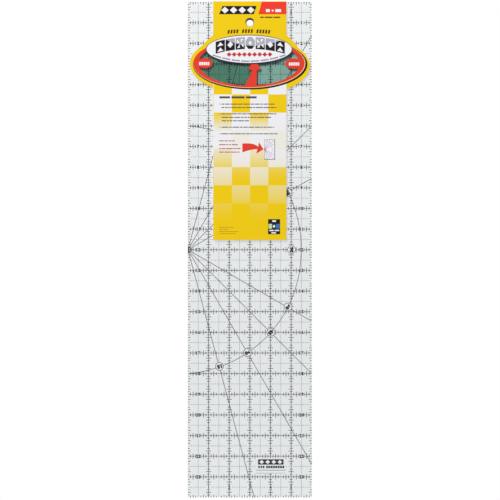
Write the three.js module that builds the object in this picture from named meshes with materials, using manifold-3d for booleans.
// A 6 by 24 inch acrylic quilting ruler with a creased paperboard display card folded over its top end.
//
// Millimetres, +Z up. The ruler hangs upright: width along X, length along Z, thickness along Y, and its
// printed front faces -Y. The origin is the centre of the hang hole, at the middle of the ruler's thickness.

import * as THREE from "three";
import { mergeVertices } from "three/addons/utils/BufferGeometryUtils.js";
import Module from "manifold-3d";

const INCH = 25.4;

// The acrylic blank
const RULER_WIDTH = 6 * INCH;
const RULER_LENGTH = 24 * INCH;
const RULER_THICKNESS = 3;
const EDGE_CHAMFER = 0.25;
const HANG_HOLE_DIAMETER = 8.6;
const HANG_HOLE_DROP = 1 * INCH; // from the ruler's top end down to the hole's centre

// The paperboard card: one creased sheet, made of a front panel, a narrow spine and a back panel
const BOARD = 0.45;
const FIT_GAP = 0.3; // between the board and the acrylic, on every side
const CARD_WIDTH = 90;
const CARD_DROP = 292.8; // from the ruler's top end down to the card's lower edge
// The panels' hang holes. The back one is smaller and a little low, so its rim shows inside the front one.
const FRONT_HOLE = { diameter: 10.9, z: 0.25 };
const BACK_HOLE = { diameter: 8.8, z: -0.85 };
const CREASE_GAP = 0.2; // bare board between a panel and the middle of its crease
const SPINE_INSET = 0.1; // keeps the spine's long edges clear of the panels as they fold over

// The oval emblem on both panels, and the window cut through the front one. Heights are from the hang hole.
const OVAL = { x: 0, z: -51.9, halfWidth: 73.7, halfHeight: 36.8, tilt: -1.3 };
const WINDOW = { x: -1, z: -50, halfWidth: 62.1, halfHeight: 27.7 };
const TITLE_OVAL = { x: -0.9, z: -33.2, halfWidth: 53.4, halfHeight: 18.1 };
const LABEL_OVALS = [
  { x: -55.3, z: -50.1, halfWidth: 9.4, halfHeight: 6.4 },
  { x: 53.1, z: -50.6, halfWidth: 9.4, halfHeight: 6.4 },
];
// Hollow curves that carry each long edge of the strip out to the oval. They start at the strip's edge.
const FLARE_TOP = -15.5;
const FLARES = [
  { bow: [-51.2, -20.2], end: [-60.5, -30.4], side: -1 },
  { bow: [52.6, -22], end: [61.5, -33.3], side: 1 },
];
const FLARE_ROOT = 40; // how far out, and how far down, a flare's hidden inner corners are
// The arrow that bridges the window: its foot stands in the ring, and its tip runs up under the title
const ARROW = {
  footZ: -80,
  footLeft: -8,
  footRight: 8.4,
  bowX: -1, // where its left side's curve is drawn towards, halfway up
  neckZ: -58.6,
  neckLeft: 2.9,
  neckRight: 8.6,
  wingZ: -57.1,
  wingLeft: -2.1,
  wingRight: 13.5,
  tipX: 5.8,
  tipZ: -45.4,
};

const HOLE_SEGMENTS = 48;
const OVAL_SEGMENTS = 96;
const CURVE_STEPS = 10;
const CUT_MARGIN = 1; // how far a cutting solid passes each face of the board
const MERGE_TOLERANCE = 1e-4;

const rulerTopZ = HANG_HOLE_DROP;
const rulerBottomZ = rulerTopZ - RULER_LENGTH;
const boardInnerY = RULER_THICKNESS / 2 + FIT_GAP;
const boardOuterY = boardInnerY + BOARD;
const creaseZ = rulerTopZ + FIT_GAP + BOARD / 2; // the fold lines' height, in the middle of the spine's board
const panelTopZ = creaseZ - BOARD / 2 - CREASE_GAP;
const cardBottomZ = rulerTopZ - CARD_DROP;

const acrylic = new THREE.MeshStandardMaterial({
  color: 0xe2e6e8,
  roughness: 0.25,
  metalness: 0,
  transparent: true,
  opacity: 0.55,
});
const printedBoard = new THREE.MeshStandardMaterial({ color: 0xf3cd1c, roughness: 0.45, metalness: 0 });
const backBoard = new THREE.MeshStandardMaterial({ color: 0x3c8269, roughness: 0.6, metalness: 0 });

const wasm = await Module();
wasm.setup();

// tilt is in degrees, anticlockwise
function ovalPoints({ x, z, halfWidth, halfHeight, tilt = 0 }, segments) {
  const centre = new THREE.Vector2(x, z);
  return Array.from({ length: segments }, (_, i) => {
    const turn = (2 * Math.PI * i) / segments;
    const point = new THREE.Vector2(x + halfWidth * Math.cos(turn), z + halfHeight * Math.sin(turn));
    return point.rotateAround(centre, THREE.MathUtils.degToRad(tilt));
  });
}

function circlePoints({ diameter, z = 0 }) {
  return ovalPoints({ x: 0, z, halfWidth: diameter / 2, halfHeight: diameter / 2 }, HOLE_SEGMENTS);
}

function rectangle(left, right, bottom, top) {
  return new THREE.Shape([
    new THREE.Vector2(left, bottom),
    new THREE.Vector2(right, bottom),
    new THREE.Vector2(right, top),
    new THREE.Vector2(left, top),
  ]);
}

function arrow(a) {
  const shape = new THREE.Shape();
  shape.moveTo(a.footLeft, a.footZ);
  shape.lineTo(a.footRight, a.footZ);
  shape.lineTo(a.neckRight, a.neckZ);
  shape.lineTo(a.wingRight, a.wingZ);
  shape.lineTo(a.tipX, a.tipZ);
  shape.lineTo(a.wingLeft, a.wingZ);
  shape.lineTo(a.neckLeft, a.neckZ);
  shape.quadraticCurveTo(a.bowX, (a.neckZ + a.footZ) / 2, a.footLeft, a.footZ);
  return shape;
}

function flare({ bow, end, side }) {
  const shape = new THREE.Shape();
  shape.moveTo(side * FLARE_ROOT, FLARE_TOP);
  shape.lineTo((side * CARD_WIDTH) / 2, FLARE_TOP);
  shape.quadraticCurveTo(...bow, ...end);
  shape.lineTo(side * FLARE_ROOT, -FLARE_ROOT);
  return shape;
}

// A flat shape (x across, y up) given thickness from localZ = from to from + depth
function plate(shape, from, depth) {
  const geometry = new THREE.ExtrudeGeometry(shape, {
    depth,
    bevelEnabled: false,
    curveSegments: CURVE_STEPS,
  });
  return solidOf(geometry.translate(0, 0, from));
}

function solidOf(geometry) {
  geometry.deleteAttribute("normal");
  geometry.deleteAttribute("uv");
  const merged = mergeVertices(geometry, MERGE_TOLERANCE);
  return new wasm.Manifold(
    new wasm.Mesh({
      numProp: 3,
      vertProperties: merged.attributes.position.array,
      triVerts: new Uint32Array(merged.index.array),
    }),
  );
}

function geometryOf(solid) {
  const { vertProperties, triVerts } = solid.getMesh();
  const geometry = new THREE.BufferGeometry();
  geometry.setAttribute("position", new THREE.BufferAttribute(vertProperties, 3));
  geometry.setIndex(new THREE.BufferAttribute(triVerts, 1));
  geometry.computeVertexNormals();
  return geometry;
}

const board = (shape) => plate(shape, 0, BOARD);
const cutter = (shape) => plate(shape, -CUT_MARGIN, BOARD + 2 * CUT_MARGIN);
const joined = (solids) => solids.reduce((whole, next) => whole.add(next));

// One mesh drawn flat and stood up: its drawing's y becomes Z, and its thickness runs from backY towards -Y
function standing(name, geometry, material, backY) {
  const mesh = new THREE.Mesh(geometry, material);
  mesh.name = name;
  mesh.rotation.x = Math.PI / 2;
  mesh.position.y = backY;
  return mesh;
}

function rulerBlank() {
  const shape = rectangle(-RULER_WIDTH / 2, RULER_WIDTH / 2, rulerBottomZ, rulerTopZ);
  shape.holes.push(new THREE.Path(circlePoints({ diameter: HANG_HOLE_DIAMETER })));
  const geometry = new THREE.ExtrudeGeometry(shape, {
    depth: RULER_THICKNESS - 2 * EDGE_CHAMFER,
    bevelThickness: EDGE_CHAMFER,
    bevelSize: EDGE_CHAMFER,
    bevelOffset: -EDGE_CHAMFER,
    bevelSegments: 1,
  });
  return standing("ruler_blank", geometry, acrylic, RULER_THICKNESS / 2 - EDGE_CHAMFER);
}

// Both panels share one outline: a strip with the oval standing out past its long edges, and a hang hole
function panelBlank(holeSize) {
  const strip = rectangle(-CARD_WIDTH / 2, CARD_WIDTH / 2, cardBottomZ, panelTopZ);
  const oval = new THREE.Shape(ovalPoints(OVAL, OVAL_SEGMENTS));
  const hole = new THREE.Shape(circlePoints(holeSize));
  return joined([strip, oval, ...FLARES.map(flare)].map(board)).subtract(cutter(hole));
}

// The window is what is left of its oval around the title, the two labels and the arrow
function windowCutter() {
  const kept = [TITLE_OVAL, ...LABEL_OVALS].map((o) => new THREE.Shape(ovalPoints(o, OVAL_SEGMENTS)));
  kept.push(arrow(ARROW));
  const opening = cutter(new THREE.Shape(ovalPoints(WINDOW, OVAL_SEGMENTS)));
  return opening.subtract(joined(kept.map(cutter)));
}

function frontPanel() {
  const solid = panelBlank(FRONT_HOLE).subtract(windowCutter());
  return standing("card_front_panel", geometryOf(solid), printedBoard, -boardInnerY);
}

function backPanel() {
  return standing("card_back_panel", geometryOf(panelBlank(BACK_HOLE)), backBoard, boardOuterY);
}

function spine() {
  const depth = 2 * (boardInnerY - SPINE_INSET);
  const mesh = new THREE.Mesh(new THREE.BoxGeometry(CARD_WIDTH, depth, BOARD), printedBoard);
  mesh.name = "card_spine";
  mesh.position.z = creaseZ;
  return mesh;
}

const displayCard = new THREE.Group();
displayCard.add(spine(), frontPanel(), backPanel());

const group = new THREE.Group();
group.add(rulerBlank(), displayCard);

export default group;
